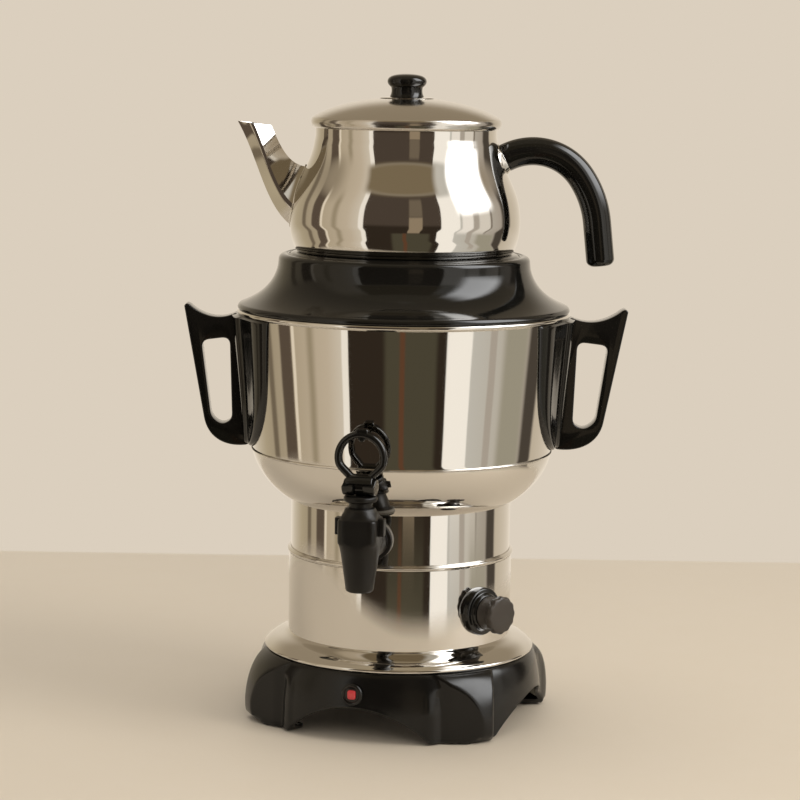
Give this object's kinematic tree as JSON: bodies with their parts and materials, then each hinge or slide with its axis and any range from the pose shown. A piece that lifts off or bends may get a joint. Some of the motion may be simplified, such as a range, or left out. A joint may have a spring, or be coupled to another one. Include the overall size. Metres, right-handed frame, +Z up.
{
  "type": "electric samovar",
  "caption": "Tiered electric samovar: a steel water boiler on a black footed base, with a tap, side grips and a thermostat knob, and a spouted lidded teapot seated on its black collar.",
  "frame": {"origin": "on the axis of the tank, at the floor that the foot pads stand on", "axes": "+Z up; -Y to the front, where the tap and the lamp are; +X to the right seen from the front, where the teapot's handle points, with the spout towards -X"},
  "size_m": [0.2955, 0.2353, 0.4302],
  "materials": {
    "polished_steel": "polished stainless steel",
    "satin_steel": "satin stainless steel",
    "black_gloss_plastic": "black heat-resistant plastic, glossy",
    "black_matte_plastic": "black plastic, satin",
    "knob_plastic": "dark plastic, matte",
    "red_lens_plastic": "clear red plastic",
    "zinc_plated_steel": "zinc-plated steel",
    "dark_sheathed_steel": "heater sheath, tarnished",
    "aluminium_sheet": "bare sheet",
    "nickel_brass": "nickel-plated brass",
    "copper": "bare copper",
    "ceramic_white": "moulded insulating body",
    "wire_insulation": "insulated wire",
    "lamp_glass": "neon lamp",
    "black_rubber": "rubber",
    "seal_rubber": "silicone seal",
    "dark_cover_plastic": "moulded cover",
    "white_nylon": "nylon"
  },
  "bodies": {
    "boiler": {"base_shell": "black_gloss_plastic", "bottom_cover": "dark_cover_plastic", "foot_pads": "black_rubber", "cover_screws": "zinc_plated_steel", "trim_flange": "polished_steel", "indicator_bezel": "black_gloss_plastic", "indicator_lens": "red_lens_plastic", "neon_lamp": "lamp_glass", "power_inlet": "black_matte_plastic", "inlet_pins": "nickel_brass", "terminal_block": "ceramic_white", "inner_wiring": "wire_insulation", "heater_housing": "polished_steel", "seam_ring": "polished_steel", "heat_shield": "aluminium_sheet", "shield_spacer": "zinc_plated_steel", "centre_stud": "zinc_plated_steel", "stud_washer": "zinc_plated_steel", "stud_nut": "zinc_plated_steel", "heating_element": "dark_sheathed_steel", "tank_floor": "satin_steel", "thermal_cutout": "ceramic_white", "thermostat_body": "ceramic_white", "knob_escutcheon": "black_gloss_plastic", "capillary_bulb": "copper", "tank_neck": "polished_steel", "tank_bowl": "polished_steel", "tank_drum": "polished_steel", "left_grip": "black_gloss_plastic", "right_grip": "black_gloss_plastic", "grip_screws": "zinc_plated_steel", "grip_washers": "seal_rubber", "tap_body": "black_matte_plastic", "tap_bonnet": "black_matte_plastic", "tap_spring": "zinc_plated_steel", "tap_nut": "white_nylon", "tap_washers": "seal_rubber"},
    "collar_body": {"collar": "black_gloss_plastic", "collar_seal": "seal_rubber", "teapot_seat_ring": "black_gloss_plastic"},
    "teapot": {"teapot_body": "polished_steel", "teapot_base_disc": "satin_steel", "teapot_spout": "polished_steel", "grip_bracket": "polished_steel", "teapot_grip": "black_gloss_plastic", "grip_stud": "zinc_plated_steel"},
    "lid": {"teapot_lid": "satin_steel", "lid_knob": "black_gloss_plastic", "lid_washer": "polished_steel", "lid_screw": "zinc_plated_steel"},
    "stem": {"tap_stem": "zinc_plated_steel", "tap_seat_cup": "seal_rubber", "lever_pin": "zinc_plated_steel"},
    "lever": {"tap_lever": "black_matte_plastic"},
    "knob": {"thermostat_shaft": "zinc_plated_steel", "thermostat_knob": "knob_plastic"}
  },
  "joints": [
    {"name": "collar_lift", "type": "slide", "parent": "boiler", "child": "collar_body", "axis": [0, 0, 1], "range_m": [0, 0.15]},
    {"name": "teapot_lift", "type": "slide", "parent": "collar_body", "child": "teapot", "axis": [0, 0, 1], "range_m": [0, 0.15]},
    {"name": "lid_lift", "type": "slide", "parent": "teapot", "child": "lid", "axis": [0, 0, 1], "range_m": [0, 0.1]},
    {"name": "tap_stem_lift", "type": "slide", "parent": "boiler", "child": "stem", "axis": [0, 0, 1], "range_m": [0, 0.004], "stiffness_N_per_m": 500, "springref_m": -0.006, "deforming": ["tap_spring"]},
    {"name": "tap_lever_tilt", "type": "hinge", "parent": "stem", "child": "lever", "pos_m": [-0.02542, -0.1101, 0.172], "axis": [0.9744, -0.225, 0], "range_deg": [0, 75]},
    {"name": "thermostat_turn", "type": "hinge", "parent": "boiler", "child": "knob", "pos_m": [0.05657, -0.05657, 0.0808], "axis": [-0.7071, 0.7071, 0], "range_deg": [0, 270]}
  ],
  "couplings": [
    {"joint": "tap_lever_tilt", "follows": "tap_stem_lift", "rad_per_m": 327.25}
  ]
}
